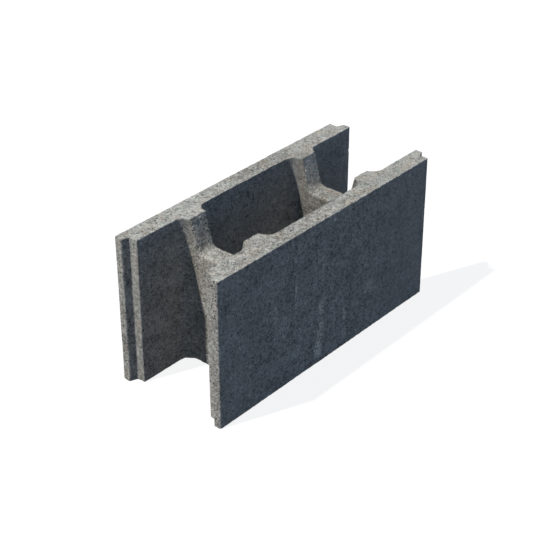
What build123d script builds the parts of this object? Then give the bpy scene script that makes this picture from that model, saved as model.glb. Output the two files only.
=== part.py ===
from build123d import *
import os

# Shuttering block of dry-cast concrete: two face shells, two cross webs with a saddle
# for the reinforcing bars, and ship-lap ends. It is cast in one piece.
# Millimetres. +X runs along the wall, +Y through it and +Z up.
# The origin is the middle of the bottom bed face.

# Overall size
face_length = 500.0  # of one face, from the lip's end to the tongue's shoulder
block_width = 200.0
block_height = 250.0

# Face shells, measured at the top bed face
end_shell_thickness = 33.8  # beside the open end cells
middle_shell_thickness = 29.0  # beside the closed middle cell

# Cross webs, measured at the top bed face
web_thickness = 35.0
first_web_setback = 125.5  # from the lip's end to the middle of the first web
web_spacing = 259.0  # between the middles of the two webs

# Cells
cell_corner_radius = 18.0
draft_angle = 0.3  # degrees: each cell opens out downwards, so that the mould core leaves it

# Saddle in the top of each web
saddle_depth = 55.0
saddle_mouth_width = 102.0
saddle_floor_width = 74.0
saddle_corner_radius = 10.0
saddle_arris_radius = 5.0  # rounding of its edges on the side of each web that faces the lips

# Ship-lap ends: the lips of one block reach over the tongues of the next
lip_width = 13.5  # of the lip's end face
lap_depth = 12.5  # how far the recess goes in behind the lips
lap_slant = 4.5  # how far the recess narrows, on each side, from its mouth to its root
lap_side_clearance = 2.2
lap_end_clearance = 0.5
arris_radius = 2.0  # rounding of the upright corners

# Places along the block
tongue_length = lap_depth - lap_end_clearance
overall_length = face_length + tongue_length
lip_x = -overall_length / 2
recess_x = lip_x + lap_depth
shoulder_x = lip_x + face_length
tongue_x = shoulder_x + tongue_length
first_web_x = lip_x + first_web_setback
second_web_x = first_web_x + web_spacing

# Places across the block
face_y = block_width / 2
recess_mouth_y = face_y - lip_width
recess_root_y = recess_mouth_y - lap_slant
tongue_shoulder_y = recess_mouth_y - lap_side_clearance
tongue_tip_y = recess_root_y - lap_side_clearance

# The end cells are cut from well outside the block, so that their outer corners miss it
cut_overrun = 2 * cell_corner_radius
cells = (
    (lip_x - cut_overrun, first_web_x - web_thickness / 2, end_shell_thickness),
    (first_web_x + web_thickness / 2, second_web_x - web_thickness / 2, middle_shell_thickness),
    (second_web_x + web_thickness / 2, tongue_x + cut_overrun, end_shell_thickness),
)

top_looking_down = Plane(origin=(0, 0, block_height), x_dir=(1, 0, 0), z_dir=(0, 0, -1))

with BuildPart() as block:
    # Outline of the block in plan, with the recess at one end and the tongues at the other
    with BuildSketch() as outline:
        with BuildLine():
            Polyline(
                (recess_x, 0),
                (recess_x, recess_root_y),
                (lip_x, recess_mouth_y),
                (lip_x, face_y),
                (shoulder_x, face_y),
                (shoulder_x, tongue_shoulder_y),
                (tongue_x, tongue_tip_y),
                (tongue_x, 0),
            )
            mirror(about=Plane.XZ)
        make_face()
        lap_corners = outline.vertices().filter_by(lambda corner: abs(corner.Y) > arris_radius)
        fillet(lap_corners, radius=arris_radius)
    extrude(amount=block_height)

    # Three cells, which leave the shells and the webs between them
    for cell_start, cell_end, shell_thickness in cells:
        with BuildSketch(top_looking_down):
            with Locations(((cell_start + cell_end) / 2, 0)):
                RectangleRounded(
                    cell_end - cell_start,
                    block_width - 2 * shell_thickness,
                    cell_corner_radius,
                )
        extrude(amount=block_height, taper=-draft_angle, mode=Mode.SUBTRACT)

    # Upright corners at the mouths of the end cells
    mouth_corners = block.edges().filter_by(
        lambda edge: edge.length > block_height / 2
        and abs(edge.center().Y) < tongue_tip_y - arris_radius
        and min(abs(edge.center().X - recess_x), abs(edge.center().X - tongue_x)) < arris_radius
    )
    fillet(mouth_corners, radius=arris_radius)

    # Saddle across both webs
    saddle_floor_z = block_height - saddle_depth
    with BuildSketch(Plane.YZ.offset(first_web_x - web_thickness)) as saddle:
        with BuildLine():
            Polyline(
                (-saddle_mouth_width / 2, block_height),
                (-saddle_floor_width / 2, saddle_floor_z),
                (saddle_floor_width / 2, saddle_floor_z),
                (saddle_mouth_width / 2, block_height),
                close=True,
            )
        make_face()
        fillet(saddle.vertices().group_by(Axis.Y)[0], radius=saddle_corner_radius)
    extrude(amount=web_spacing + 2 * web_thickness, mode=Mode.SUBTRACT)

    # Edges of the saddle that face the lips
    for web_x in (first_web_x, second_web_x):
        saddle_arrises = block.edges().filter_by(
            lambda edge: abs(edge.center().X - web_x + web_thickness / 2) < arris_radius
            and abs(edge.center().Y) < saddle_mouth_width / 2
            and saddle_floor_z - 1 < edge.center().Z < block_height - 1
        )
        fillet(saddle_arrises, radius=saddle_arris_radius)

block.part.label = "block"

os.makedirs("parts", exist_ok=True)
export_step(block.part, "parts/block.step")
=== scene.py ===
import math
from functools import partial
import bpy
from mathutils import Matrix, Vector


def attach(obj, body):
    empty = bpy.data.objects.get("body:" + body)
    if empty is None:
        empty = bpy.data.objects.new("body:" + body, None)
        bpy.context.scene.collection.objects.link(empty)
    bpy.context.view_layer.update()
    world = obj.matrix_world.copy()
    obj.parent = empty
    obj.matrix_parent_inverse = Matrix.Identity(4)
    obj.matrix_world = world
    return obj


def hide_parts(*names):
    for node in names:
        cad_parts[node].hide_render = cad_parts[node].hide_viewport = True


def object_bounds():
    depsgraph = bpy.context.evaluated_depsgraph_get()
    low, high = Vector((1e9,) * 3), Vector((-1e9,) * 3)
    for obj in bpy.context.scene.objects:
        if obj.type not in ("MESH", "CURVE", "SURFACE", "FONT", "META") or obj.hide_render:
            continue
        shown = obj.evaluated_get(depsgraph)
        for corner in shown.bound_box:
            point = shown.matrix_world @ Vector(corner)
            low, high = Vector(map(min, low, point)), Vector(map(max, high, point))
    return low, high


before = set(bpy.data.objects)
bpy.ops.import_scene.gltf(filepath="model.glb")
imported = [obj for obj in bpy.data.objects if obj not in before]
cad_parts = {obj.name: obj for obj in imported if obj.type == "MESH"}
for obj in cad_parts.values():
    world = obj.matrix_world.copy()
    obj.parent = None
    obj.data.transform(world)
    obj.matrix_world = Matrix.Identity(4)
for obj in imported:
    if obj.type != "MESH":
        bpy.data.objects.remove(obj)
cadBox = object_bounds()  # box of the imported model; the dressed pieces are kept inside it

from types import SimpleNamespace

import bmesh
import bpy
from mathutils import Matrix, Vector

# Concrete shuttering block: a weathered, open-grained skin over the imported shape, with
# grit that stands in it. Metres, +X along the wall, +Y through it, +Z up.
mm = 0.001
frontFace, topBed = cadBox[0][1], cadBox[1][2]  # where the front and the tops lie
print("frame loaded:", sorted(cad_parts))


def linearColour(hexText):
    # sRGB hex to the linear values that the shaders work in
    parts = [int(hexText[i:i + 2], 16) / 255 for i in (1, 3, 5)]
    return tuple(c / 12.92 if c <= 0.04045 else ((c + 0.055) / 1.055) ** 2.4 for c in parts) + (1.0,)


def addNode(tree, kind, inputs=None, **settings):
    # one node: its settings first, then a value or a link for each named or numbered input;
    # a node given as a value links its first output
    node = tree.nodes.new(kind)
    for name, value in settings.items():
        setattr(node, name, value)
    for key, value in (inputs or {}).items():
        if isinstance(value, bpy.types.Node):
            value = value.outputs[0]
        if isinstance(value, bpy.types.NodeSocket):
            tree.links.new(value, node.inputs[key])
        else:
            node.inputs[key].default_value = value
    return node


def fillRamp(node, stops):
    # stops are (position, hex colour) or (position, grey level)
    elements = node.color_ramp.elements
    while len(elements) > 1:
        elements.remove(elements[-1])
    for index, (position, tone) in enumerate(stops):
        element = elements[0] if index == 0 else elements.new(position)
        element.position = position
        element.color = linearColour(tone) if isinstance(tone, str) else (tone, tone, tone, 1.0)
    return node


def addInputs(tree, kind, *names):
    for name in names:
        tree.interface.new_socket(name=name, in_out="INPUT", socket_type=kind)


def setInput(modifier, name, value):
    # a modifier's input goes by its identifier
    for item in modifier.node_group.interface.items_tree:
        if item.item_type == "SOCKET" and item.in_out == "INPUT" and item.name == name:
            modifier[item.identifier] = value
            return
    raise KeyError(name)


def startNodes(owner):
    # an empty node tree for a material or the world, and the way to add to it
    owner.use_nodes = True
    owner.node_tree.nodes.clear()
    return partial(addNode, owner.node_tree)


def addObject(name, data):
    made = bpy.data.objects.new(name, data)
    bpy.context.scene.collection.objects.link(made)
    return made


def settle(piece):
    # what a piece's modifiers make becomes its own plain mesh, and nothing of a weathered
    # surface stands out of the block that it is pressed into
    bpy.context.view_layer.update()
    graph = bpy.context.evaluated_depsgraph_get()
    mesh = bpy.data.meshes.new_from_object(piece.evaluated_get(graph), depsgraph=graph)
    mesh.name = piece.name
    for vertex in mesh.vertices:
        vertex.co = [min(max(c, low), high) for c, low, high in zip(vertex.co, *cadBox)]
    mesh.calc_loop_triangles()
    piece.modifiers.clear()
    piece.data = mesh
    return mesh


def perMetre(sizeInMm):
    # a texture's scale from the real size of one of its marks
    return 1.0 / (sizeInMm * mm)


concreteLook = {
    # sand, knots and patches
    "sandSize": 2.3,  # mm; real sand is 0.2 to 2 mm, drawn coarse enough to show in the render
    "sandContrast": 0.90,  # between its darkest and its palest grains, before the strength below
    "wobbleSize": 3.1,  # mm, of the waves in a grain's edge
    "wobbleReach": 1.4,  # mm, how far they move it
    "knotSize": 9.0,  # mm, knots of coarser sand
    "knotContrast": 0.88,
    "patchSize": 30.0,  # mm, damper and drier patches
    "patchContrast": 0.62,

    # how strong all that mottling is, from place to place
    "contrast": 0.95,  # in the middle of the length
    "contrastFall": 0.90,  # per metre towards the tongues
    "middleContrast": 0.45,  # more of it on the front, in the middle of its length
    "middleSlope": 0.30,  # per metre, how that falls towards the tongues
    "middleBend": 13.6,  # per square metre, how it falls towards both ends
    "frontReach": (40, 2),  # mm behind the front, where it starts and where it is whole
    "openContrast": 0.20,  # more of it on the open-grained faces
    "evenTongue": (40, 200, 0.60),  # mm along the near shell, from and to, and what is taken off there
    "nearShell": (50, 30),  # mm behind the front, where that shell starts and where it is whole
    "tornContrast": 0.30,  # more of it on the torn flanks of the saddles

    # how pale each place is, as a share of the paste's colour
    "level": 0.98,  # in the middle of the length
    "openShade": 0.08,  # how much darker the open grain is
    "paleLips": 0.14,  # per metre, how much paler all of it is towards the lips
    "openPaleLips": 0.40,  # and the open grain besides
    "paleEnds": 1.2,  # per square metre, how much paler all of it is towards both ends
    "openPaleEnds": 3.2,  # and the open grain besides
    "topReach": (10, 2),  # mm below the tops, where their own change starts and where it is whole
    "nearTop": (-200, 50, -0.13, 0.10),  # mm along the near one, from and to, and the change at each
    "farTopDarkMiddle": 30,  # mm along the far one, the middle of its darker place
    "farTop": (20, 100, -0.01, 0.11),  # mm to either side of that, from and to, and the change at each
    "farShell": (0, 50),  # mm behind the middle, where the far shell starts and where it is whole
    "farCellShade": 0.08,  # painted shade: how much darker its smooth faces, which face into the cells, are in the middle of the length
    "farCellShadeFall": 0.35,  # per metre, how much less that is towards the tongues
    "palest": 1.18,  # before the mottling
    "darkest": 0.25,  # with it

    # patches of hue, clouds and the mould's marks
    "hueSize": 16.0,  # mm
    "hues": [(0.32, "#F5FCF1"), (0.45, "#FFFFFC"), (0.56, "#FFFCF3"), (0.70, "#FFF6E9")],
    "hueShare": (0.15, 0.80),  # how plain they are on the smooth faces, and more on the open grain
    "hueUpright": 0.35,  # how much less plain on the webs and ends
    "cloudSize": 75.0,  # mm, clouds left by uneven drying
    "clouds": [(0.30, 0.88), (0.50, 0.96), (0.70, 1.0)],
    "dragWidth": 7.0,  # mm, upright marks where the mould drew off
    "dragLength": 10.0,  # times their width
    "drags": [(0.28, 0.88), (0.50, 0.98), (0.72, 1.0)],
    "dragShare": 0.8,  # how plain they are
    "warmth": [(0.36, "#F7F0E9"), (0.48, "#FEFCFA"), (0.66, "#FFFFFF")],  # in the marks on the webs
    "endWarmth": 0.35,  # how much of that warmth the ends have
    "shellInside": (72, 64),  # mm from the middle, where the shells' own faces end and the webs' begin
    "webs": (-130, 110),  # mm along, where the first web's look ends and where the second's is whole

    # stones, pores and quartz
    "stoneSize": 9.0,  # mm between the coarser stones under the skin
    "stoneEdge": (0.30, 0.20),  # share of that, from a stone's middle, where it starts and is whole
    "stones": [(0.0, "#676661"), (0.35, "#8D8A84"), (0.6, "#A69F94"), (0.8, "#BDBBB4"), (1.0, "#DDD9CF")],
    "stoneShare": (0.4, 0.3),  # how plain, as for the hues
    "speckSize": 5.2,  # mm between small pores or pale quartz grains
    "speckEdge": (0.32, 0.18),  # as for the stones
    "poreCluster": 38.0,  # mm, loose clusters of pores
    "poreFree": (0.90, 0.66),  # share of the places with no pore, outside the clusters and in them
    "poreShare": (0.64, 0.14),  # how plain, as for the hues
    "poreFade": (-20, 220, 0.55),  # mm along, from and to, and what is left of the pores there
    "quartzCount": 0.10,  # share of the places with a quartz grain
    "quartzShare": (0.38, 0.10),

    # wear, with painted sunlight on the torn flanks and painted shade in hollows
    "secondFlankSun": 0.12,  # how much more painted sunlight the torn flank of the second web gets
    "rubbedShare": 0.30,  # how plain the rubbed colour is on an arris
    "hollowShare": 0.65,  # how dark the painted shade in a hollow of the mesh is at its bottom

    # lime on the front
    "crumbSize": 3.6,  # mm
    "crumbs": (0.42, 0.56, 0.06),  # of the noise, from and to, and what is left between the crumbs
    "threadWidth": 5.5,  # mm
    "threads": (0.36, 0.54, 0.45),  # as for the crumbs
    "wanderSize": 14.0,  # mm, of the bends in a run
    "wanderReach": 13.0,  # mm, how far they move it, from one side to the other
    "limeReach": 12.0,  # mm behind the front, so that it stays on it
    "limeEdge": 0.4,  # share of the way to a run's middle, where it is whole

    # gloss, and relief too fine for the mesh
    "bumpHeight": 0.8,  # mm
    "bumpShare": (0.7, 0.9),  # of it on the smooth faces, and more on the open grain
    "tornBump": 1.2,  # and more on the torn flanks
    "grainLift": 0.55,  # how much a grain stands out by its own draw
    "grainRound": 0.7,  # how much it falls away from its middle
    "poreSink": 1.1,  # how far a pore goes in
    "fineSize": 1.8,  # mm, the paste between the sand
    "roughness": (0.88, 1.0),  # least and most
    "specular": 0.12,  # dust takes most of the gloss

    # colours
    "paste": "#ADACA9",  # dry cement paste and its sand, where the level is 1
    "poreShade": "#4B4945",  # painted shade in pores and hollows
    "quartz": "#E4E2DA",
    "rubbed": "#CFCCC3",  # worn arrises
    "torn": "#F5EADA",  # painted sunlight on the torn flanks of the saddles, times their tone
    "secondWebDarkening": "#E7E7E7",  # multiplies the second web's faces, which are darker
    "lime": "#F4EFE2",
}

# Lime that has run out of the front face: (x, z, half width, half length) in mm, strength
limeRuns = [
    (-84.5, 144.0, 4.2, 33.0, 1.15),
    (-25.5, 97.0, 6.5, 18.0, 0.90),
    (-26.0, 57.0, 9.5, 28.0, 1.00),
    (-31.0, 26.0, 12.0, 20.0, 1.60),
    (34.0, 60.0, 5.0, 17.0, 0.90),
    (34.0, 22.0, 7.0, 12.0, 0.65),
    (95.0, 80.0, 14.0, 15.0, 0.48),
    (-131.5, 139.0, 6.0, 20.0, 0.55),
    (-20.0, 173.0, 6.0, 11.0, 0.50),
    (-212.0, 118.0, 4.5, 5.0, 0.80),
    (6.7, 238.8, 4.0, 4.0, 1.00),
    (194.8, 238.6, 4.0, 4.0, 1.00),
]


def readPlace(add, look):
    # where each point lies, the finish that the skin's mesh keeps for it, and how plain the
    # marks are there, which differs on the open grain
    place = add("ShaderNodeTexCoord").outputs["Object"]
    along, across, up = add("ShaderNodeSeparateXYZ", {0: place}).outputs
    kept = ("openGrain", "torn", "webFace", "pitDepth", "arrisWear")
    finish = {name: add("ShaderNodeAttribute", attribute_name=name).outputs["Fac"] for name in kept}
    shares = {}
    for name in ("hueShare", "stoneShare", "poreShare", "quartzShare", "bumpShare"):
        onSmooth, moreOnOpen = look[name]
        shares[name] = add("ShaderNodeMath", {0: finish["openGrain"], 1: moreOnOpen, 2: onSmooth},
                           operation="MULTIPLY_ADD")
    return SimpleNamespace(place=place, along=along, across=across, up=up, **finish, **shares)


def mixSand(add, at, look):
    # one tone for each grain, its edges wobbled, then knots and patches that change more slowly
    wobble = add("ShaderNodeTexNoise", {"Vector": at.place, "Scale": perMetre(look["wobbleSize"]),
                                        "Detail": 1.0})
    shift = add("ShaderNodeVectorMath", {0: wobble.outputs["Color"], 1: (0.5, 0.5, 0.5)},
                operation="SUBTRACT")
    shift = add("ShaderNodeVectorMath", {0: shift, "Scale": look["wobbleReach"] * mm}, operation="SCALE")
    place = add("ShaderNodeVectorMath", {0: at.place, 1: shift}, operation="ADD")
    cells = add("ShaderNodeTexVoronoi", {"Vector": place, "Scale": perMetre(look["sandSize"])})
    draw = add("ShaderNodeSeparateColor", {0: cells.outputs["Color"]}).outputs
    half = 0.5 * look["sandContrast"]
    tone = add("ShaderNodeMath", {0: draw[0], 1: draw[1]}, operation="ADD")
    tone = add("ShaderNodeMath", {0: tone, 1: half, 2: -half}, operation="MULTIPLY_ADD")
    for size, contrast, detail in (("knotSize", "knotContrast", 3.0), ("patchSize", "patchContrast", 2.0)):
        slow = add("ShaderNodeTexNoise", {"Vector": at.place, "Scale": perMetre(look[size]),
                                          "Detail": detail})
        slow = add("ShaderNodeMath", {0: slow, 1: 0.5}, operation="SUBTRACT")
        tone = add("ShaderNodeMath", {0: slow, 1: look[contrast], 2: tone}, operation="MULTIPLY_ADD")
    return SimpleNamespace(place=place, cells=cells, lift=draw[2], tone=tone)


def mottlingStrength(add, at, look):
    # strongest in the middle of the front, and weaker towards the tongues
    start, end = look["frontReach"]
    atFront = add("ShaderNodeMapRange", {0: at.across, 1: frontFace + start * mm, 2: frontFace + end * mm})
    swell = add("ShaderNodeMath", {0: at.along, 1: -look["middleBend"], 2: -look["middleSlope"]},
                operation="MULTIPLY_ADD")
    swell = add("ShaderNodeMath", {0: swell, 1: at.along, 2: look["middleContrast"]},
                operation="MULTIPLY_ADD")
    swell = add("ShaderNodeMath", {0: swell, 1: 0.0}, operation="MAXIMUM")
    strength = add("ShaderNodeMath", {0: at.along, 1: -look["contrastFall"], 2: look["contrast"]},
                   operation="MULTIPLY_ADD")
    strength = add("ShaderNodeMath", {0: swell, 1: atFront, 2: strength}, operation="MULTIPLY_ADD")

    # more on the open grain, but not at the near shell's tongue, and most on the torn flanks
    start, end = look["nearShell"]
    nearShell = add("ShaderNodeMapRange", {0: at.across, 1: frontFace + start * mm, 2: frontFace + end * mm})
    start, end, loss = look["evenTongue"]
    evener = add("ShaderNodeMapRange", {0: at.along, 1: start * mm, 2: end * mm, 3: 0.0, 4: loss})
    evener = add("ShaderNodeMath", {0: nearShell, 1: evener}, operation="MULTIPLY")
    coarser = add("ShaderNodeMath", {0: look["openContrast"], 1: evener}, operation="SUBTRACT")
    coarser = add("ShaderNodeMath", {0: at.openGrain, 1: coarser, 2: 1.0}, operation="MULTIPLY_ADD")
    coarser = add("ShaderNodeMath", {0: at.torn, 1: look["tornContrast"], 2: coarser},
                  operation="MULTIPLY_ADD")
    return add("ShaderNodeMath", {0: strength, 1: coarser}, operation="MULTIPLY")


def levelAndCellShade(add, at, look):
    # paler towards both ends and more towards the lips, the open grain most
    bend = add("ShaderNodeMath", {0: at.openGrain, 1: look["openPaleEnds"], 2: look["paleEnds"]},
               operation="MULTIPLY_ADD")
    slope = add("ShaderNodeMath", {0: at.openGrain, 1: -look["openPaleLips"], 2: -look["paleLips"]},
                operation="MULTIPLY_ADD")
    level = add("ShaderNodeMath", {0: at.openGrain, 1: -look["openShade"], 2: look["level"]},
                operation="MULTIPLY_ADD")
    paler = add("ShaderNodeMath", {0: bend, 1: at.along, 2: slope}, operation="MULTIPLY_ADD")
    level = add("ShaderNodeMath", {0: paler, 1: at.along, 2: level}, operation="MULTIPLY_ADD")
    level = add("ShaderNodeMath", {0: level, 1: look["palest"]}, operation="MINIMUM")

    # of the tops, the near one is greyer at the lips and the far one darker in its middle
    start, end = look["topReach"]
    onTop = add("ShaderNodeMapRange", {0: at.up, 1: topBed - start * mm, 2: topBed - end * mm})
    fromDarkMiddle = add("ShaderNodeMath", {0: at.along, 1: look["farTopDarkMiddle"] * mm}, operation="SUBTRACT")
    fromDarkMiddle = add("ShaderNodeMath", {0: fromDarkMiddle}, operation="ABSOLUTE")
    changes = []
    for way, (start, end, atStart, atEnd) in ((at.along, look["nearTop"]), (fromDarkMiddle, look["farTop"])):
        changes.append(add("ShaderNodeMapRange", {0: way, 1: start * mm, 2: end * mm, 3: atStart, 4: atEnd}))
    isFar = add("ShaderNodeMapRange", {0: at.across, 1: -10 * mm, 2: 10 * mm})  # no top lies between
    change = add("ShaderNodeMix", {0: isFar, 2: changes[0], 3: changes[1]})
    level = add("ShaderNodeMath", {0: change, 1: onTop, 2: level}, operation="MULTIPLY_ADD")
    level = add("ShaderNodeMath", {0: level, 1: look["palest"]}, operation="MINIMUM")

    # painted shade on the far shell's smooth faces, which face into the cells; its back face gets it too
    smooth = add("ShaderNodeMath", {0: 1.0, 1: at.openGrain}, operation="SUBTRACT")
    start, end = look["farShell"]
    farShell = add("ShaderNodeMapRange", {0: at.across, 1: start * mm, 2: end * mm})
    cellShade = add("ShaderNodeMath", {0: at.along, 1: look["farCellShadeFall"], 2: -look["farCellShade"]},
                 operation="MULTIPLY_ADD")
    cellShade = add("ShaderNodeMath", {0: cellShade, 1: farShell}, operation="MULTIPLY")
    return add("ShaderNodeMath", {0: cellShade, 1: smooth, 2: level}, operation="MULTIPLY_ADD")


def tintPatches(add, at, look, colour):
    # patches of slightly different hue, plainest on the tops
    hue = add("ShaderNodeTexNoise", {"Vector": at.place, "Scale": perMetre(look["hueSize"]), "Detail": 2.0})
    hue = fillRamp(add("ShaderNodeValToRGB", {0: hue}), look["hues"])
    share = add("ShaderNodeMath", {0: at.webFace, 1: -look["hueUpright"], 2: at.hueShare},
                operation="MULTIPLY_ADD")
    return add("ShaderNodeMix", {0: share, 6: colour, 7: hue}, data_type="RGBA",
               blend_type="MULTIPLY").outputs[2]


def showStones(add, at, look, sand, colour):
    # coarser stones that show through the paste
    stone = add("ShaderNodeTexVoronoi", {"Vector": sand.place, "Scale": perMetre(look["stoneSize"])})
    draw = add("ShaderNodeSeparateColor", {0: stone.outputs["Color"]}).outputs[1]
    start, whole = look["stoneEdge"]
    inside = add("ShaderNodeMapRange", {0: stone, 1: start, 2: whole, 3: 0.0, 4: 1.0})
    tone = fillRamp(add("ShaderNodeValToRGB", {0: draw}), look["stones"])
    share = add("ShaderNodeMath", {0: at.stoneShare, 1: inside}, operation="MULTIPLY")
    return add("ShaderNodeMix", {0: share, 6: colour, 7: tone}, data_type="RGBA").outputs[2]


def showSpecks(add, at, look, colour):
    # small pores, painted dark as their shade, in loose clusters, fainter towards the tongues
    speck = add("ShaderNodeTexVoronoi", {"Vector": at.place, "Scale": perMetre(look["speckSize"])})
    draw = add("ShaderNodeSeparateColor", {0: speck.outputs["Color"]}).outputs[0]
    start, whole = look["speckEdge"]
    inside = add("ShaderNodeMapRange", {0: speck, 1: start, 2: whole, 3: 0.0, 4: 1.0})
    cluster = add("ShaderNodeTexNoise", {"Vector": at.place, "Scale": perMetre(look["poreCluster"]),
                                         "Detail": 2.0})
    outsideFree, insideFree = look["poreFree"]
    free = add("ShaderNodeMapRange", {0: cluster, 1: 0.38, 2: 0.62, 3: outsideFree, 4: insideFree})
    isPore = add("ShaderNodeMath", {0: draw, 1: free}, operation="GREATER_THAN")
    pore = add("ShaderNodeMath", {0: inside, 1: isPore}, operation="MULTIPLY")
    start, end, left = look["poreFade"]
    fade = add("ShaderNodeMapRange", {0: at.along, 1: start * mm, 2: end * mm, 3: 1.0, 4: left})
    share = add("ShaderNodeMath", {0: at.poreShare, 1: fade}, operation="MULTIPLY")
    poreShare = add("ShaderNodeMath", {0: share, 1: pore}, operation="MULTIPLY")
    colour = add("ShaderNodeMix", {0: poreShare, 6: colour, 7: linearColour(look["poreShade"])},
                 data_type="RGBA").outputs[2]

    # pale quartz grains
    isQuartz = add("ShaderNodeMath", {0: draw, 1: look["quartzCount"]}, operation="LESS_THAN")
    quartz = add("ShaderNodeMath", {0: inside, 1: isQuartz}, operation="MULTIPLY")
    share = add("ShaderNodeMath", {0: at.quartzShare, 1: quartz}, operation="MULTIPLY")
    colour = add("ShaderNodeMix", {0: share, 6: colour, 7: linearColour(look["quartz"])},
                 data_type="RGBA").outputs[2]
    return colour, pore, poreShare


def markByMould(add, at, look, drawn, second, colour):
    # clouds, and upright marks where the mould drew off
    cloud = add("ShaderNodeTexNoise", {"Vector": at.place, "Scale": perMetre(look["cloudSize"]),
                                       "Detail": 4.0})
    cloud = fillRamp(add("ShaderNodeValToRGB", {0: cloud}), look["clouds"])
    colour = add("ShaderNodeMix", {0: 1.0, 6: colour, 7: cloud}, data_type="RGBA",
                 blend_type="MULTIPLY").outputs[2]
    drag = add("ShaderNodeTexNoise", {"Vector": drawn, "Scale": perMetre(look["dragWidth"]), "Detail": 3.0})
    tone = fillRamp(add("ShaderNodeValToRGB", {0: drag}), look["drags"])
    colour = add("ShaderNodeMix", {0: look["dragShare"], 6: colour, 7: tone}, data_type="RGBA",
                 blend_type="MULTIPLY").outputs[2]

    # warmer on the webs, a little on the ends, and darker on the second web
    fromMiddle = add("ShaderNodeMath", {0: at.across}, operation="ABSOLUTE")
    start, end = look["shellInside"]
    betweenShells = add("ShaderNodeMapRange", {0: fromMiddle, 1: start * mm, 2: end * mm})
    warmth = add("ShaderNodeMapRange", {0: betweenShells, 1: 0.0, 2: 1.0, 3: look["endWarmth"], 4: 1.0})
    warmth = add("ShaderNodeMath", {0: warmth, 1: at.webFace}, operation="MULTIPLY")
    tone = fillRamp(add("ShaderNodeValToRGB", {0: drag}), look["warmth"])
    colour = add("ShaderNodeMix", {0: warmth, 6: colour, 7: tone}, data_type="RGBA",
                 blend_type="MULTIPLY").outputs[2]
    darkerWeb = add("ShaderNodeMath", {0: betweenShells, 1: second}, operation="MULTIPLY")
    darkerWeb = add("ShaderNodeMath", {0: darkerWeb, 1: at.webFace}, operation="MULTIPLY")
    return add("ShaderNodeMix", {0: darkerWeb, 6: colour, 7: linearColour(look["secondWebDarkening"])}, data_type="RGBA",
               blend_type="MULTIPLY").outputs[2]


def wearAndPaintedLight(add, at, look, tone, second, poreShare, colour):
    # painted sunlight makes the torn flanks paler, and rubbed arrises are paler; hollows in the mesh get
    # painted shade
    flankSunLevel = add("ShaderNodeMath", {0: second, 1: look["secondFlankSun"], 2: tone}, operation="MULTIPLY_ADD")
    flankSunTone = add("ShaderNodeVectorMath", {0: linearColour(look["torn"])[:3], "Scale": flankSunLevel},
                   operation="SCALE")
    clear = add("ShaderNodeMath", {0: 1.0, 1: poreShare}, operation="SUBTRACT")
    share = add("ShaderNodeMath", {0: clear, 1: at.torn}, operation="MULTIPLY", use_clamp=True)
    colour = add("ShaderNodeMix", {0: share, 6: colour, 7: flankSunTone}, data_type="RGBA").outputs[2]
    # the rubbed colour on arrises, then painted shade at the bottom of the mesh's hollows
    for worn, most, shade in ((at.arrisWear, "rubbedShare", "rubbed"),
                              (at.pitDepth, "hollowShare", "poreShade")):
        share = add("ShaderNodeMath", {0: worn, 1: look[most]}, operation="MULTIPLY", use_clamp=True)
        colour = add("ShaderNodeMix", {0: share, 6: colour, 7: linearColour(look[shade])},
                     data_type="RGBA").outputs[2]
    return colour


def runLime(add, at, look, drawn, colour):
    # white crumbs and threads where water has carried the lime down
    ragged = 1.0
    for way, size, edges, detail in ((at.place, "crumbSize", "crumbs", 2.0),
                                     (drawn, "threadWidth", "threads", 3.0)):
        marks = add("ShaderNodeTexNoise", {"Vector": way, "Scale": perMetre(look[size]), "Detail": detail})
        start, end, left = look[edges]
        marks = add("ShaderNodeMapRange", {0: marks, 1: start, 2: end, 3: left, 4: 1.0})
        ragged = add("ShaderNodeMath", {0: ragged, 1: marks}, operation="MULTIPLY")

    # the runs themselves, which don't go quite straight
    wander = add("ShaderNodeTexNoise", {"Vector": at.place, "Scale": perMetre(look["wanderSize"]),
                                        "Detail": 2.0})
    wander = add("ShaderNodeVectorMath", {0: wander.outputs["Color"], 1: (0.5, 0.5, 0.5)},
                 operation="SUBTRACT")
    wander = add("ShaderNodeVectorMath", {0: wander, 1: (look["wanderReach"] * mm, 0.0, 0.0), 2: at.place},
                 operation="MULTIPLY_ADD")
    lime = 0.0
    for x, z, halfWidth, halfLength, strength in limeRuns:
        reach = (halfWidth * mm, look["limeReach"] * mm, halfLength * mm)
        spot = add("ShaderNodeMapping", {"Vector": wander, "Location": (x * mm, frontFace, z * mm),
                                         "Scale": reach}, vector_type="TEXTURE")
        inside = add("ShaderNodeTexGradient", {"Vector": spot}, gradient_type="SPHERICAL").outputs[1]
        strong = add("ShaderNodeMapRange", {0: inside, 1: 0.0, 2: look["limeEdge"], 3: 0.0, 4: strength})
        lime = add("ShaderNodeMath", {0: lime, 1: strong}, operation="MAXIMUM")
    lime = add("ShaderNodeMath", {0: lime, 1: ragged}, operation="MULTIPLY", use_clamp=True)
    return add("ShaderNodeMix", {0: lime, 6: colour, 7: linearColour(look["lime"])},
               data_type="RGBA").outputs[2]


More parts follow.
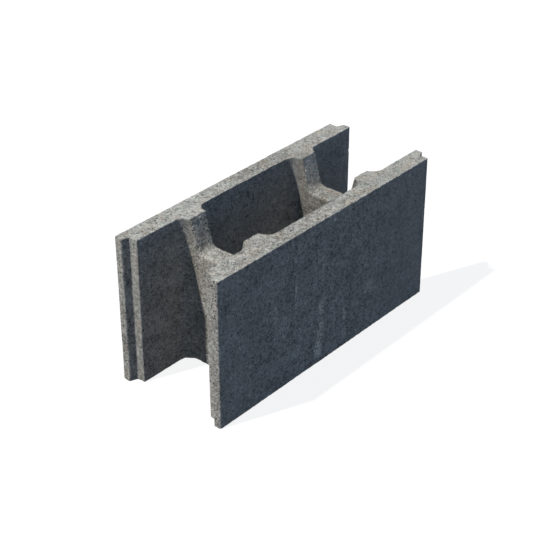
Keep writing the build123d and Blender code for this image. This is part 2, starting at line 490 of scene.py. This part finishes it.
def makeConcrete(look):
    # Dry-cast concrete, pressed stiff into a steel mould: sand and grit in a matt grey
    # cement paste with open pores. It scatters light evenly and has almost no gloss.
    material = bpy.data.materials.new("dryCastConcrete")
    add = startNodes(material)
    at = readPlace(add, look)
    drawn = add("ShaderNodeMapping", {"Vector": at.place, "Scale": (1.0, 1.0, 1.0 / look["dragLength"])})
    start, end = look["webs"]
    second = add("ShaderNodeMapRange", {0: at.along, 1: start * mm, 2: end * mm})  # 1 at the second web

    sand = mixSand(add, at, look)
    strength = mottlingStrength(add, at, look)
    level = levelAndCellShade(add, at, look)
    tone = add("ShaderNodeMath", {0: sand.tone, 1: strength, 2: level}, operation="MULTIPLY_ADD")
    tone = add("ShaderNodeMath", {0: tone, 1: look["darkest"]}, operation="MAXIMUM")
    colour = add("ShaderNodeVectorMath", {0: linearColour(look["paste"])[:3], "Scale": tone},
                 operation="SCALE")
    colour = tintPatches(add, at, look, colour)
    colour = showStones(add, at, look, sand, colour)
    colour, pore, poreShare = showSpecks(add, at, look, colour)
    colour = markByMould(add, at, look, drawn, second, colour)
    colour = wearAndPaintedLight(add, at, look, tone, second, poreShare, colour)
    colour = runLime(add, at, look, drawn, colour)

    # relief too fine for the mesh: each grain lifted by its own draw and round, the pores sunk
    fine = add("ShaderNodeTexNoise", {"Vector": at.place, "Scale": perMetre(look["fineSize"]), "Detail": 2.0})
    height = fine
    for raised, amount in ((sand.lift, look["grainLift"]), (sand.cells, -look["grainRound"]),
                           (pore, -look["poreSink"])):
        height = add("ShaderNodeMath", {0: raised, 1: amount, 2: height}, operation="MULTIPLY_ADD")
    share = add("ShaderNodeMath", {0: at.torn, 1: look["tornBump"], 2: at.bumpShare},
                operation="MULTIPLY_ADD")
    height = add("ShaderNodeMath", {0: height, 1: share}, operation="MULTIPLY")
    bump = add("ShaderNodeBump", {"Height": height, "Distance": look["bumpHeight"] * mm, "Strength": 1.0})
    least, most = look["roughness"]
    rough = add("ShaderNodeMapRange", {0: fine, 1: 0.3, 2: 0.7, 3: least, 4: most})
    shader = add("ShaderNodeBsdfPrincipled", {"Base Color": colour, "Roughness": rough,
                                              "Specular IOR Level": look["specular"], "Normal": bump})
    add("ShaderNodeOutputMaterial", {"Surface": shader})
    return material


concrete = makeConcrete(concreteLook)
print("concrete ready")


skinSizes = {
    "voxel": 1.0,  # mm, of the mesh that the relief is pressed into
    "keptShare": 0.134,  # of the faces, after the flat places are thinned out
    "sharpAngle": 35.0,  # degrees, between two faces that meet in an arris
    "sizes": {  # mm
        "Wave Depth": 0.35,  # unevenness of the broad faces
        "Wave Length": 70.0,
        "Grain Depth": 0.16,  # on the smooth faces
        "Open Grain Depth": 0.42,  # added on the tops, ends and webs
        "Grain Length": 5.5,
        "Torn Depth": 0.85,  # on the flanks of the saddles, where the former tears the surface
        "Torn Length": 3.6,
        "Pit Spacing": 8.0,
        "Pit Radius": 1.9,
        "Pit Depth": 1.1,
        "Wear Width": 2.0,  # from an arris to where its wear ends
        "Wear Depth": 0.5,
        "Saddle Half Width": 56.0,
    },
    "shellFace": (0.10, 0.32),  # of the normal's part across the wall, where it starts and is whole
    "flank": (-0.86, -0.96),  # the same, for the saddle's flank that looks to the front
    "webFace": (0.85, 0.97),  # of the normal's part along the wall
    "pitCluster": 45.0,  # mm, loose clusters of pits
    "pitPower": (6.0, 2.2),  # outside the clusters and in them: the higher, the fewer large pits
    "smallestPit": 0.40,  # share of the pit radius
    "pitWall": 0.6,  # under 1 makes a pit steep at its rim
    "pitDepth": (0.5, 0.6),  # share of the pit depth, and more of it for the larger pits
    "chipSize": 9.0,  # mm
    "chips": (0.52, 0.74),  # of the noise, where a chip starts and where it is whole
    "chipWidth": (0.55, 1.3),  # share of the wear width, and more of it at a chip
    "chipDepth": (0.35, 1.5),  # the same of the wear depth
    "wearCurve": 1.6,  # over 1 hollows the worn edge
}


def closedCopy(node):
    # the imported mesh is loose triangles, so its copy is merged before it is used
    shape = bmesh.new()
    shape.from_mesh(node.data)
    bmesh.ops.remove_doubles(shape, verts=shape.verts, dist=0.01 * mm)
    return shape


def arrisLines(shape, sharpAngle):
    # the sharp edges alone, as a wire
    sharp = [e for e in shape.edges if e.is_manifold and e.calc_face_angle(0.0) > math.radians(sharpAngle)]
    points, index = [], {}
    for edge in sharp:
        for vertex in edge.verts:
            if vertex.index not in index:
                index[vertex.index] = len(points)
                points.append(vertex.co.copy())
    mesh = bpy.data.meshes.new("arrisLines")
    mesh.from_pydata(points, [[index[v.index] for v in e.verts] for e in sharp], [])
    return mesh


def weatherTree(sizes):
    tree = bpy.data.node_groups.new("weatheredSkin", "GeometryNodeTree")
    addInputs(tree, "NodeSocketGeometry", "Geometry")
    addInputs(tree, "NodeSocketObject", "Arrises")
    addInputs(tree, "NodeSocketMaterial", "Material")
    addInputs(tree, "NodeSocketFloat", *sizes["sizes"])
    tree.interface.new_socket(name="Geometry", in_out="OUTPUT", socket_type="NodeSocketGeometry")
    add = partial(addNode, tree)
    given = add("NodeGroupInput").outputs
    place = add("GeometryNodeInputPosition").outputs[0]
    normal = add("GeometryNodeInputNormal").outputs[0]
    placeParts = add("ShaderNodeSeparateXYZ", {0: place}).outputs
    normalParts = add("ShaderNodeSeparateXYZ", {0: normal}).outputs

    # which finish each place has: the shells' upright faces are smooth, the rest open-grained
    acrossWall = add("ShaderNodeMath", {0: normalParts[1]}, operation="ABSOLUTE")
    start, whole = sizes["shellFace"]
    shellFace = add("ShaderNodeMapRange", {"Value": acrossWall, "From Min": start, "From Max": whole},
                    interpolation_type="SMOOTHSTEP")
    start, whole = sizes["flank"]
    flank = add("ShaderNodeMapRange", {"Value": normalParts[1], "From Min": start, "From Max": whole},
                interpolation_type="SMOOTHSTEP")
    fromMiddle = add("ShaderNodeMath", {0: placeParts[1]}, operation="ABSOLUTE")
    inSaddle = add("ShaderNodeMath", {0: fromMiddle, 1: given["Saddle Half Width"]}, operation="LESS_THAN")
    torn = add("ShaderNodeMath", {0: inSaddle, 1: flank}, operation="MULTIPLY")
    openGrain = add("ShaderNodeMath", {0: inSaddle, 1: shellFace}, operation="SUBTRACT")
    openGrain = add("ShaderNodeMath", {0: openGrain, 1: 1.0}, operation="ADD", use_clamp=True)
    alongWall = add("ShaderNodeMath", {0: normalParts[0]}, operation="ABSOLUTE")
    start, whole = sizes["webFace"]
    webFace = add("ShaderNodeMapRange", {"Value": alongWall, "From Min": start, "From Max": whole},
                  interpolation_type="SMOOTHSTEP")

    # slow waves of the broad faces, and short ones of the sand; noise seldom leaves 0.3 to 0.7
    perWave = add("ShaderNodeMath", {0: 1.0, 1: given["Wave Length"]}, operation="DIVIDE")
    wave = add("ShaderNodeTexNoise", {"Vector": place, "Scale": perWave, "Detail": 1.0})
    wave = add("ShaderNodeMapRange", {"Value": wave, "From Min": 0.3, "From Max": 0.7,
                                      "To Max": given["Wave Depth"]})
    perGrain = add("ShaderNodeMath", {0: 1.0, 1: given["Grain Length"]}, operation="DIVIDE")
    grain = add("ShaderNodeTexNoise", {"Vector": place, "Scale": perGrain, "Detail": 1.0})
    grainDepth = add("ShaderNodeMath", {0: openGrain, 1: given["Open Grain Depth"], 2: given["Grain Depth"]},
                     operation="MULTIPLY_ADD")
    grain = add("ShaderNodeMapRange", {"Value": grain, "From Min": 0.3, "From Max": 0.7,
                                       "To Max": grainDepth})
    depth = add("ShaderNodeMath", {0: wave, 1: grain}, operation="ADD")

    # torn flanks of the saddles
    perTear = add("ShaderNodeMath", {0: 1.0, 1: given["Torn Length"]}, operation="DIVIDE")
    tear = add("ShaderNodeTexNoise", {"Vector": place, "Scale": perTear, "Detail": 2.0})
    tear = add("ShaderNodeMapRange", {"Value": tear, "From Min": 0.32, "From Max": 0.68,
                                      "To Max": given["Torn Depth"]})
    depth = add("ShaderNodeMath", {0: tear, 1: torn, 2: depth}, operation="MULTIPLY_ADD")

    # pores: round hollows where a random point lies near the surface, in loose clusters
    perPit = add("ShaderNodeMath", {0: 1.0, 1: given["Pit Spacing"]}, operation="DIVIDE")
    pits = add("ShaderNodeTexVoronoi", {"Vector": place, "Scale": perPit})
    draw = add("FunctionNodeSeparateColor", {0: pits.outputs["Color"]}).outputs[0]
    away = add("ShaderNodeMath", {0: pits, 1: given["Pit Spacing"]}, operation="MULTIPLY")
    cluster = add("ShaderNodeTexNoise", {"Vector": place, "Scale": perMetre(sizes["pitCluster"]),
                                         "Detail": 1.0})
    outside, within = sizes["pitPower"]
    power = add("ShaderNodeMapRange", {"Value": cluster, "From Min": 0.35, "From Max": 0.65,
                                       "To Min": outside, "To Max": within})
    radius = add("ShaderNodeMath", {0: draw, 1: power}, operation="POWER")
    radius = add("ShaderNodeMath", {0: radius, 1: sizes["smallestPit"]}, operation="ADD")
    radius = add("ShaderNodeMath", {0: radius, 1: given["Pit Radius"]}, operation="MULTIPLY")
    bowl = add("ShaderNodeMath", {0: away, 1: radius}, operation="DIVIDE")
    bowl = add("ShaderNodeMath", {0: 1.0, 1: bowl}, operation="SUBTRACT", use_clamp=True)
    bowl = add("ShaderNodeMath", {0: bowl, 1: sizes["pitWall"]}, operation="POWER")
    least, more = sizes["pitDepth"]
    pitDepth = add("ShaderNodeMath", {0: draw, 1: more, 2: least}, operation="MULTIPLY_ADD")
    pitDepth = add("ShaderNodeMath", {0: pitDepth, 1: given["Pit Depth"]}, operation="MULTIPLY")
    pitDepth = add("ShaderNodeMath", {0: pitDepth, 1: bowl}, operation="MULTIPLY")

    # arrises: rounded by handling, with small chips
    lines = add("GeometryNodeObjectInfo", {"Object": given["Arrises"]}, transform_space="RELATIVE")
    toLine = add("GeometryNodeProximity", {0: lines.outputs["Geometry"]}, target_element="EDGES")
    toLine = toLine.outputs["Distance"]
    ragged = add("ShaderNodeTexNoise", {"Vector": place, "Scale": perMetre(sizes["chipSize"]), "Detail": 3.0})
    start, whole = sizes["chips"]
    chips = add("ShaderNodeMapRange", {"Value": ragged, "From Min": start, "From Max": whole})
    least, more = sizes["chipWidth"]
    reach = add("ShaderNodeMath", {0: chips, 1: more, 2: least}, operation="MULTIPLY_ADD")
    reach = add("ShaderNodeMath", {0: reach, 1: given["Wear Width"]}, operation="MULTIPLY")
    wear = add("ShaderNodeMath", {0: toLine, 1: reach}, operation="DIVIDE")
    wear = add("ShaderNodeMath", {0: 1.0, 1: wear}, operation="SUBTRACT", use_clamp=True)
    least, more = sizes["chipDepth"]
    wearDepth = add("ShaderNodeMath", {0: chips, 1: more, 2: least}, operation="MULTIPLY_ADD")
    wearDepth = add("ShaderNodeMath", {0: wearDepth, 1: given["Wear Depth"]}, operation="MULTIPLY")
    wearCurve = add("ShaderNodeMath", {0: wear, 1: sizes["wearCurve"]}, operation="POWER")
    wearDepth = add("ShaderNodeMath", {0: wearDepth, 1: wearCurve}, operation="MULTIPLY")

    # all of it pressed inwards
    deeper = add("ShaderNodeMath", {0: pitDepth, 1: wearDepth}, operation="MAXIMUM")
    depth = add("ShaderNodeMath", {0: depth, 1: deeper}, operation="ADD")
    depth = add("ShaderNodeMath", {0: depth, 1: -1.0}, operation="MULTIPLY")
    pressed = add("ShaderNodeVectorMath", {0: normal, "Scale": depth}, operation="SCALE")

    # the marks are kept for the material, so they are stored before the surface moves
    skin = given["Geometry"]
    marks = {"openGrain": openGrain, "torn": torn, "webFace": webFace, "pitDepth": bowl, "arrisWear": wear}
    for name, value in marks.items():
        skin = add("GeometryNodeStoreNamedAttribute", {"Geometry": skin, "Name": name, "Value": value},
                   data_type="FLOAT", domain="POINT")
    skin = add("GeometryNodeSetPosition", {"Geometry": skin, "Offset": pressed})
    skin = add("GeometryNodeSetShadeSmooth", {0: skin})
    skin = add("GeometryNodeRealizeInstances", {0: skin})
    skin = add("GeometryNodeSetMaterial", {"Geometry": skin, "Material": given["Material"]})
    add("NodeGroupOutput", {0: skin})
    return tree


shape = closedCopy(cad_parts["block"])
lines = addObject("arrisLines", arrisLines(shape, skinSizes["sharpAngle"]))
blockMesh = bpy.data.meshes.new("blockShape")
shape.to_mesh(blockMesh)
shape.free()

block = addObject("blockSkin", blockMesh)
voxels = block.modifiers.new("voxels", "REMESH")
voxels.mode = "VOXEL"
voxels.voxel_size = skinSizes["voxel"] * mm
weather = block.modifiers.new("weather", "NODES")
weather.node_group = weatherTree(skinSizes)
for inputName, size in skinSizes["sizes"].items():
    setInput(weather, inputName, size * mm)
setInput(weather, "Arrises", lines)
setInput(weather, "Material", concrete)
thin = block.modifiers.new("thin", "DECIMATE")
thin.ratio = skinSizes["keptShare"]

skinMesh = settle(block)
bpy.data.objects.remove(lines)
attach(block, "root")
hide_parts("block")
print("skin:", len(skinMesh.loop_triangles), "triangles")


gravelLook = {
    "tones": [(0.0, "#55534F"), (0.25, "#75736E"), (0.48, "#9A9892"), (0.66, "#B1ADA4"), (0.78, "#B2A99B"),
              (0.90, "#CBC8BF"), (1.0, "#E6E3DA")],  # one for each grain
    "evenTongues": (-100, 200, 0.5),  # mm along, from and to, and what is left of their contrast there
    "veinSize": 0.9,  # mm
    "veins": [(0.35, 0.82), (0.60, 1.0)],  # their shade and their relief
    "bumpHeight": 0.1,  # mm
    "roughness": 0.78,
    "specular": 0.3,
}


def makeGravel(look):
    # Crushed river gravel and sharp sand: dry mineral grains, each of one tone, matt with a
    # faint glint where one is broken.
    material = bpy.data.materials.new("crushedGravel")
    add = startNodes(material)
    place = add("ShaderNodeTexCoord").outputs["Object"]
    alongWall = add("ShaderNodeSeparateXYZ", {0: place}).outputs[0]
    start, end, left = look["evenTongues"]
    contrast = add("ShaderNodeMapRange", {0: alongWall, 1: start * mm, 2: end * mm, 3: 1.0, 4: left})
    draw = add("ShaderNodeAttribute", attribute_name="grainTone").outputs["Fac"]
    draw = add("ShaderNodeMath", {0: draw, 1: 0.5}, operation="SUBTRACT")
    draw = add("ShaderNodeMath", {0: draw, 1: contrast, 2: 0.5}, operation="MULTIPLY_ADD")
    tone = fillRamp(add("ShaderNodeValToRGB", {0: draw}), look["tones"])
    veins = add("ShaderNodeTexNoise", {"Vector": place, "Scale": perMetre(look["veinSize"]), "Detail": 2.0})
    veins = fillRamp(add("ShaderNodeValToRGB", {0: veins}), look["veins"])
    colour = add("ShaderNodeMix", {0: 1.0, 6: tone, 7: veins}, data_type="RGBA",
                 blend_type="MULTIPLY").outputs[2]
    bump = add("ShaderNodeBump", {"Height": veins, "Distance": look["bumpHeight"] * mm, "Strength": 1.0})
    shader = add("ShaderNodeBsdfPrincipled", {"Base Color": colour, "Roughness": look["roughness"],
                                              "Specular IOR Level": look["specular"], "Normal": bump})
    add("ShaderNodeOutputMaterial", {"Surface": shader})
    return material


gritSizes = {
    "perSquareMetre": 33000.0,  # grains, on a fully open-grained face
    "seed": 7,  # of their places and radii
    "sizes": {  # mm
        "Smallest Grain": 0.7,  # radius
        "Largest Grain": 1.5,
    },
    "sunk": 0.72,  # of a grain's radius, how deep its middle lies
    "turn": 6.28,  # radians, the most that a grain is turned about each axis
    "flatness": (0.7, 1.1),  # of its radius along each axis, least and most
    "toneSeed": 3,
    "turnSeed": 5,
    "flatnessSeed": 9,
}


def gritTree(sizes):
    tree = bpy.data.node_groups.new("exposedGrit", "GeometryNodeTree")
    addInputs(tree, "NodeSocketGeometry", "Geometry")
    addInputs(tree, "NodeSocketMaterial", "Material")
    addInputs(tree, "NodeSocketInt", "Seed")
    addInputs(tree, "NodeSocketFloat", "Density", *sizes["sizes"])
    tree.interface.new_socket(name="Geometry", in_out="OUTPUT", socket_type="NodeSocketGeometry")
    add = partial(addNode, tree)
    given = add("NodeGroupInput").outputs

    # points on the open-grained faces alone
    openGrain = add("GeometryNodeInputNamedAttribute", {"Name": "openGrain"}, data_type="FLOAT")
    density = add("ShaderNodeMath", {0: openGrain, 1: given["Density"]}, operation="MULTIPLY")
    spread = add("GeometryNodeDistributePointsOnFaces", {"Mesh": given["Geometry"], "Density": density,
                                                         "Seed": given["Seed"]})
    radius = add("FunctionNodeRandomValue", {2: given["Smallest Grain"], 3: given["Largest Grain"],
                                             "Seed": given["Seed"]}, data_type="FLOAT").outputs[1]
    tone = add("FunctionNodeRandomValue", {"Seed": sizes["toneSeed"]}, data_type="FLOAT").outputs[1]
    points = add("GeometryNodeStoreNamedAttribute", {"Geometry": spread, "Name": "grainTone", "Value": tone},
                 data_type="FLOAT", domain="POINT")

    # each grain mostly sunk in the paste
    sink = add("ShaderNodeMath", {0: radius, 1: -sizes["sunk"]}, operation="MULTIPLY")
    sink = add("ShaderNodeVectorMath", {0: spread.outputs["Normal"], "Scale": sink}, operation="SCALE")
    points = add("GeometryNodeSetPosition", {"Geometry": points, "Offset": sink})
    grain = add("GeometryNodeMeshIcoSphere", {"Radius": 1.0, "Subdivisions": 1})
    turn = add("FunctionNodeRandomValue", {1: (sizes["turn"],) * 3, "Seed": sizes["turnSeed"]},
               data_type="FLOAT_VECTOR")
    least, most = sizes["flatness"]
    flatness = add("FunctionNodeRandomValue", {0: (least,) * 3, 1: (most,) * 3,
                                               "Seed": sizes["flatnessSeed"]}, data_type="FLOAT_VECTOR")
    size = add("ShaderNodeVectorMath", {0: flatness, "Scale": radius}, operation="SCALE")
    grains = add("GeometryNodeInstanceOnPoints", {"Points": points, "Instance": grain, "Rotation": turn,
                                                  "Scale": size})
    grains = add("GeometryNodeRealizeInstances", {0: grains})
    grains = add("GeometryNodeSetMaterial", {"Geometry": grains, "Material": given["Material"]})
    add("NodeGroupOutput", {0: grains})
    return tree


grit = addObject("exposedGrit", skinMesh.copy())
spread = grit.modifiers.new("spread", "NODES")
spread.node_group = gritTree(gritSizes)
for inputName, size in gritSizes["sizes"].items():
    setInput(spread, inputName, size * mm)
setInput(spread, "Density", gritSizes["perSquareMetre"])
setInput(spread, "Seed", gritSizes["seed"])
setInput(spread, "Material", makeGravel(gravelLook))
gritMesh = settle(grit)
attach(grit, "root")
print("grit:", len(gritMesh.loop_triangles), "triangles")


stageLook = {
    "floorHalf": 40.0,  # m
    "floorGlow": 0.88,  # seen by the camera, before the light on it
    "floorShare": 0.16,  # of the light on it that the camera sees
    "floorBounce": 0.03,  # grey that lights the block from below
    "floorLight": (0.108, 0.112, 0.118),  # even light from the floor, also where the block shades it
    "skyColour": (0.069, 0.127, 0.222),  # linear, as all light here
    "keyWay": (0.573, -0.238, -1.0),  # the way the key light travels
    "keyColour": (1.0, 0.960, 0.895),
    "keyPower": 3.40,  # W per square metre
    "keyAngle": 1.6,  # degrees across, as seen from the block
    "fillWay": (-1.0, -0.30, -0.30),  # from behind the tongues, so that they aren't black
    "fillColour": (0.90, 0.95, 1.0),
    "fillPower": 0.55,
    "fillAngle": 50.0,
}


def seenItself(add):
    # 1 for a ray that shows the stage, 0 for one that only brings its light to the block
    ray = add("ShaderNodeLightPath").outputs
    seen = add("ShaderNodeMath", {0: ray["Is Camera Ray"], 1: ray["Is Glossy Ray"]}, operation="MAXIMUM")
    return add("ShaderNodeMath", {0: seen, 1: ray["Is Transmission Ray"]}, operation="MAXIMUM")


def makeFloor(look):
    half = look["floorHalf"]
    mesh = bpy.data.meshes.new("floor")
    corners = [(-half, -half, 0), (half, -half, 0), (half, half, 0), (-half, half, 0)]
    mesh.from_pydata(corners, [], [(0, 1, 2, 3)])
    floor = addObject("floor", mesh)
    material = bpy.data.materials.new("whitePaper")  # plain matt sweep
    add = startNodes(material)
    paper = add("ShaderNodeBsdfDiffuse", {"Color": (look["floorShare"],) * 3 + (1,)})
    glow = add("ShaderNodeEmission", {"Color": (1, 1, 1, 1), "Strength": look["floorGlow"]})
    shown = add("ShaderNodeAddShader", {0: paper, 1: glow})
    bounce = add("ShaderNodeBsdfDiffuse", {"Color": (look["floorBounce"],) * 3 + (1,)})
    even = add("ShaderNodeEmission", {"Color": look["floorLight"] + (1,), "Strength": 1.0})
    hidden = add("ShaderNodeAddShader", {0: bounce, 1: even})
    both = add("ShaderNodeMixShader", {0: seenItself(add), 1: hidden, 2: shown})
    add("ShaderNodeOutputMaterial", {"Surface": both})
    mesh.materials.append(material)


def makeSky(look):
    world = bpy.data.worlds.new("studio")
    bpy.context.scene.world = world
    add = startNodes(world)
    soft = add("ShaderNodeBackground", {"Color": look["skyColour"] + (1,), "Strength": 1.0})
    white = add("ShaderNodeBackground", {"Color": (1, 1, 1, 1), "Strength": 1.0})
    both = add("ShaderNodeMixShader", {0: seenItself(add), 1: soft, 2: white})
    add("ShaderNodeOutputWorld", {"Surface": both})


def addSun(name, way, colour, power, angle):
    lamp = bpy.data.lights.new(name, "SUN")
    lamp.color = colour
    lamp.energy = power
    lamp.angle = math.radians(angle)
    sun = addObject(name, lamp)
    sun.rotation_mode = "QUATERNION"
    sun.rotation_quaternion = Vector(way).to_track_quat("-Z", "Y")
    sun.location = Vector(way).normalized() * -3  # anywhere will do, as a sun shines from its angle


makeFloor(stageLook)
makeSky(stageLook)
for lampName in ("key", "fill"):
    addSun(lampName + "Light", *(stageLook[lampName + part] for part in ("Way", "Colour", "Power", "Angle")))

cameraSetup = {
    "place": (-1.4705, -1.2353, 1.2633),  # m
    "azimuth": -49.661,  # degrees round the block from its front, below 0 towards the lips
    "elevation": 31.077,  # degrees above the level
    "roll": -0.091,  # degrees
    "lens": 93.44,  # mm
    "sensor": 36.0,  # mm wide
}


def makeCamera(setup):
    azimuth, elevation, roll = (math.radians(setup[k]) for k in ("azimuth", "elevation", "roll"))
    outwards = Vector((math.sin(azimuth), -math.cos(azimuth), 0.0))
    back = outwards * math.cos(elevation) + Vector((0.0, 0.0, math.sin(elevation)))
    level = (-back).cross(Vector((0, 0, 1))).normalized()
    upright = level.cross(-back)
    right = math.cos(roll) * level + math.sin(roll) * upright
    up = -math.sin(roll) * level + math.cos(roll) * upright
    lens = bpy.data.cameras.new("camera")
    lens.sensor_width = setup["sensor"]
    lens.lens = setup["lens"]
    lens.clip_start = 0.05
    lens.clip_end = 200.0
    camera = addObject("camera", lens)
    camera.matrix_world = Matrix.Translation(setup["place"]) @ Matrix((right, up, back)).transposed().to_4x4()
    bpy.context.scene.camera = camera


makeCamera(cameraSetup)
bpy.context.scene.view_settings.view_transform = "Standard"
print("stage ready")
